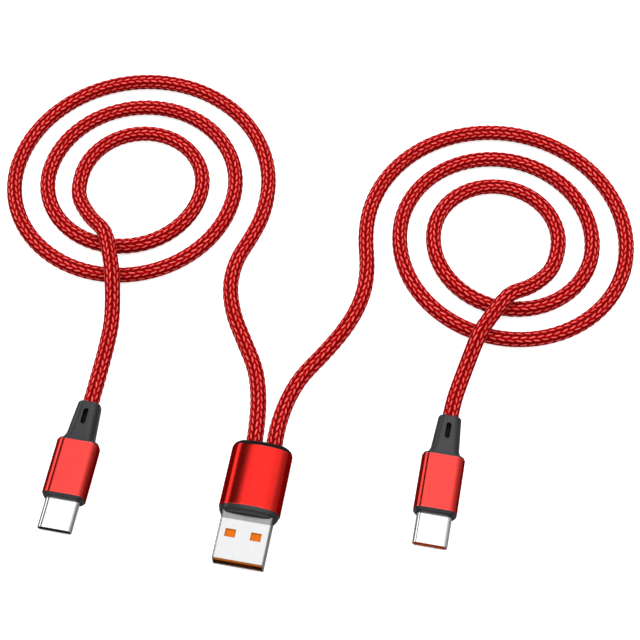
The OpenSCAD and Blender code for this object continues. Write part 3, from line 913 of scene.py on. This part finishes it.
def make_host():
    make_host_shell()

    sleeve = make_tube(
        "host_aluminium_sleeve", a_outline, A_SLEEVE_Y, A_CAP_Y, WALL, SLEEVE_LIP, HOST
    )
    new_piece("host_aluminium_sleeve", smooth(sleeve), HOST_RED, ("host_sleeve",))

    stem = a_outline(WALL + FIT_GAP)
    bezel = loft(
        "host_bezel",
        [
            (A_SHELL_OUT, a_outline(1.05), 0.2),
            (A_SHELL_OUT + 0.03, a_outline(0.94), 0.8),
            (A_SHELL_OUT + 0.1, a_outline(0.83), 1.0),
            (A_SHELL_OUT + 0.8, a_outline(0.42), 0.3),
            (A_SHELL_OUT + 0.95, a_outline(0.34), 0.5),
            (A_SLEEVE_Y - 0.2, a_outline(0.17), 0.0),
            (A_SLEEVE_Y, a_outline(0.15), 0.0),
            (A_SLEEVE_Y, stem, 0.0),
            (A_SLEEVE_Y + BEZEL_DEPTH, stem, 0.0),
        ],
        HOST,
    )
    opening = prism(a_shell_outline(-FIT_GAP), A_BEZEL_FRONT, A_BEZEL_BACK, HOST)
    bezel = smooth(cut(bezel, [opening]))
    new_piece("host_bezel", bezel, GREY_TRIM, ("host_front_bezel",))

    cap = loft(
        "host_cap",
        [
            (A_CORE_END, stem, 0.0),
            (A_CAP_Y, stem, 0.0),
            (A_CAP_Y, a_outline(0.15), 0.0),
            (A_CAP_Y + 0.15, a_outline(0.16), 0.0),
            (A_CAP_Y + 0.5, a_outline(0.22), 0.3),
            (A_CAP_Y + 0.75, a_outline(0.36), 0.6),
            (A_LEN - 0.16, a_outline(0.9), 0.9),
            (A_LEN - 0.04, a_outline(1.08), 1.0),
            (A_LEN, a_outline(1.25), 0.5),
        ],
        HOST,
    )
    holes = [prism(circle(CORD_BORE, x), A_HOLE_FRONT, A_HOLE_BACK, HOST) for x in A_CORDS_X]
    cap = smooth(cut(cap, holes))
    new_piece("host_cap", cap, CAP_BLACK, ("host_rear_cap",))

    jackets = bmesh.new()
    for x in A_CORDS_X:
        jackets.from_mesh(jacket_mesh(x, A_CORE_END - 1, A_CORE_END + 1.5, HOST))
    mesh = bpy.data.meshes.new("host_cord_jackets")
    jackets.to_mesh(mesh)
    jackets.free()
    new_piece("host_cord_jackets", smooth(mesh), JACKET, ("host_cord_ends",))


# The strain relief's outlines, each a width, a height and a corner radius, and
# the slot up through its neck, whose middle is SLOT_BACK from the relief's end
NECK = (6.7, 5.3, 1.8)
NECK_END = (5.6, 5.0, 1.8)
SHOULDER = 2.5
SHOULDER_STEPS = 14
NECK_SHARES = (0.2, 0.4, 0.6, 0.8, 0.94)
NECK_LIP = ((0.4, 0.0, 0.3), (0.2, 0.05, 0.8), (0.07, 0.15, 1.0), (0.0, 0.32, 0.6))
SLOT = (1.2, 4.2, 0.599)
SLOT_BACK = 4.2
CORD_POCKET = 1.5
# Cuts through the relief and the bezel begin and end clear of them
JACKET_HOLE_Y = 19
C_BEZEL_FRONT, C_BEZEL_BACK = 5, 13


def mixed(a, b, share):
    """Sizes a share of the way from a to b."""
    return [p + (q - p) * share for p, q in zip(a, b)]


def relief_stations():
    """Stations of the strain relief: its stem, its shoulder, its neck and lip."""
    w, h, r = C_SLEEVE
    wide = (w - 0.4, h - 0.4, r - 0.2)
    stem = c_outline(WALL + FIT_GAP)
    stations = [
        (C_CORE_END, stem, 0.0),
        (C_RELIEF_Y, stem, 0.0),
        (C_RELIEF_Y, round_box(*wide), 0.0),
        (C_RELIEF_Y + 0.3, round_box(*wide), 0.2),
        (C_RELIEF_Y + 0.42, round_box(*mixed(wide, NECK, 0.03)), 0.8),
    ]
    for step in range(1, SHOULDER_STEPS + 1):
        angle = math.pi / 2 * step / SHOULDER_STEPS
        y = C_RELIEF_Y + 0.45 + (SHOULDER - 0.05) * (1 - math.cos(angle))
        outline = round_box(*mixed(wide, NECK, math.sin(angle)))
        stations.append((y, outline, 0.3 if step < 3 else 0.0))
    neck_y = C_RELIEF_Y + 0.4 + SHOULDER
    for share in NECK_SHARES:
        y = neck_y + (C_LEN - 0.4 - neck_y) * share
        stations.append((y, round_box(*mixed(NECK, NECK_END, share)), 0.0))
    w, h, r = NECK_END
    for back, inset, rim in NECK_LIP:
        outline = round_box(w - 2 * inset, h - 2 * inset, r - inset)
        stations.append((C_LEN - back, outline, rim))
    return stations


def make_c_plug(side):
    """One oval plug. Returns every piece of it, the CAD's own ones among them."""
    tip_x = sum(span(side + "_shell", 0)) / 2
    tip_y = span(side + "_shell", 1)[0]
    origin = (tip_x, tip_y, C_Z)
    made = []

    def add(name, mesh, material, node):
        piece = new_piece(side + name, smooth(mesh), material, (side + node,))
        made.append(piece)

    shell = make_tube(
        side + "_metal_shell", c_shell_outline, 0, C_SHELL_LEN, C_SHEET, SHELL_LIP, origin
    )
    add("_metal_shell", shell, BRIGHT_SHELL, "_shell")

    sleeve = make_tube(
        side + "_aluminium_sleeve", c_outline, C_SLEEVE_Y, C_RELIEF_Y, WALL, SLEEVE_LIP, origin
    )
    add("_aluminium_sleeve", sleeve, CORAL_RED, "_sleeve")

    stem = c_outline(WALL + FIT_GAP)
    bezel = loft(
        side + "_bezel",
        [
            (C_SHELL_OUT, c_outline(0.78), 0.2),
            (C_SHELL_OUT + 0.03, c_outline(0.64), 0.8),
            (C_SHELL_OUT + 0.09, c_outline(0.54), 1.0),
            (C_SHELL_OUT + 0.32, c_outline(0.29), 0.6),
            (C_SHELL_OUT + 0.42, c_outline(0.22), 0.3),
            (C_SLEEVE_Y - 0.1, c_outline(0.16), 0.0),
            (C_SLEEVE_Y, c_outline(0.15), 0.0),
            (C_SLEEVE_Y, stem, 0.0),
            (C_SHELL_LEN, stem, 0.0),
        ],
        origin,
    )
    opening = prism(c_shell_outline(-FIT_GAP), C_BEZEL_FRONT, C_BEZEL_BACK, origin)
    add("_bezel", cut(bezel, [opening]), GREY_TRIM, "_front_bezel")

    relief = cut(
        loft(side + "_relief", relief_stations(), origin),
        [
            prism(circle(JACKET_BORE), JACKET_HOLE_Y, C_LEN - CORD_POCKET + 0.1, origin),
            prism(circle(CORD_BORE), C_LEN - CORD_POCKET, C_LEN + 1, origin),
            upright(round_box(*SLOT), (0, C_LEN - SLOT_BACK), origin),
        ],
    )
    add("_relief", relief, GREY_TRIM, "_strain_relief")

    jacket = jacket_mesh(0, C_CORE_END - 1, C_LEN - 1.0, origin)
    add("_cord_jacket", jacket, JACKET, "_cord_end")
    return made + [nodes[side + "_" + part] for part in CAD_FINISHES]


finish_inner_parts()
make_host()
left_plug = make_c_plug("left")
right_plug = make_c_plug("right")


def line_length(line):
    """Length of a route, in metres."""
    return float(np.linalg.norm(np.diff(line, axis=0), axis=1).sum()) * MM


for piece, line, exit_x, plug in (
    (left_cord, left_line, -A_CORD_X, left_plug),
    (right_cord, right_line, A_CORD_X, right_plug),
):
    exit_x * MM
    line_length(line)
    (line[::PATH_STRIDE] * MM).tolist() + [(line[-1] * MM).tolist()]
    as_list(plug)


# Stage ------------------------------------------------------------------


# The floor is white to look at and dim in what the plugs reflect of it
FLOOR_HALF = 6.0
FLOOR_DROP = 0.00003
FLOOR_GLOW = 0.7
FLOOR_WHITE = (0.85, 0.85, 0.86)
FLOOR_DIM = (0.33, 0.33, 0.335)
WORLD_COLOUR = (0.95, 0.97, 1.0, 1)
WORLD_STRENGTH = 0.045

# Each light's name, place, target, width and height, and radiance, in metres
LIGHTS = [
    ("overhead_softbox", (-0.033, 0.3, 0.6), (-0.033, 0.3, 0), (0.465, 1.1), 2.35),
    ("right_softbox", (0.34, 0.3, 0.6), (0.34, 0.3, 0), (0.27, 1.1), 1.7),
    ("right_panel_high", (0.54, 0.28, 0.48), (0.07, 0.28, 0.3), (1.0, 0.26), 1.05),
    ("right_panel_low", (0.651, 0.28, 0.18), (0.18, 0.28, 0.0), (1.0, 0.36), 0.6),
    ("left_panel", (-0.579, 0.28, 0.312), (-0.126, 0.28, 0.099), (1.0, 0.336), 2.5),
    ("front_fill", (0.0, -0.75, 0.42), (0, 0.03, 0), (1.0, 0.36), 1.7),
    ("front_strip", (0.0, -0.85, 0.19), (0, 0.03, 0), (1.8, 0.2), 1.2),
    ("back_strip", (0.0, 1.15, 0.26), (0, 0.03, 0), (1.8, 0.26), 1.0),
]


def make_floor():
    b = bmesh.new()
    bmesh.ops.create_grid(b, x_segments=4, y_segments=4, size=FLOOR_HALF)
    mesh = bpy.data.meshes.new("floor")
    b.to_mesh(mesh)
    b.free()
    floor = bpy.data.objects.new("floor", mesh)
    floor.location.z = -FLOOR_DROP
    scene.collection.objects.link(floor)
    f = Finish("white_floor")
    rays = f.node("ShaderNodeLightPath")
    seen = Signal(f, rays.outputs["Is Camera Ray"])
    glow = f.node("ShaderNodeEmission", {}, {"Color": (1, 1, 1), "Strength": FLOOR_GLOW})
    paint = f.node("ShaderNodeBsdfDiffuse", {}, {"Color": FLOOR_WHITE})
    dim = f.node("ShaderNodeBsdfDiffuse", {}, {"Color": FLOOR_DIM})
    glow, paint, dim = (Signal(f, made.outputs[0]) for made in (glow, paint, dim))
    lit = f.node("ShaderNodeAddShader", {}, {0: glow, 1: paint})
    lit = Signal(f, lit.outputs[0])
    mix = f.node("ShaderNodeMixShader", {}, {0: seen, 1: dim, 2: lit})
    end = f.node("ShaderNodeOutputMaterial")
    f.tree.links.new(mix.outputs[0], end.inputs[0])
    mesh.materials.append(f.material)


def make_light(name, place, target, extent, radiance):
    """A soft rectangular light whose surface shines with this radiance."""
    data = bpy.data.lights.new(name, "AREA")
    data.shape = "RECTANGLE"
    data.size, data.size_y = extent
    data.energy = radiance * math.pi * extent[0] * extent[1]
    light = bpy.data.objects.new(name, data)
    light.location = Vector(place)
    light.rotation_mode = "QUATERNION"
    light.rotation_quaternion = (Vector(target) - Vector(place)).to_track_quat("-Z", "Y")
    scene.collection.objects.link(light)


def make_world():
    world = bpy.data.worlds.new("studio")
    scene.world = world
    world.use_nodes = True
    shade = world.node_tree.nodes["Background"]
    shade.inputs["Color"].default_value = WORLD_COLOUR
    shade.inputs["Strength"].default_value = WORLD_STRENGTH


make_floor()
make_world()
for light in LIGHTS:
    make_light(*light)
scene.view_settings.view_transform = "Standard"
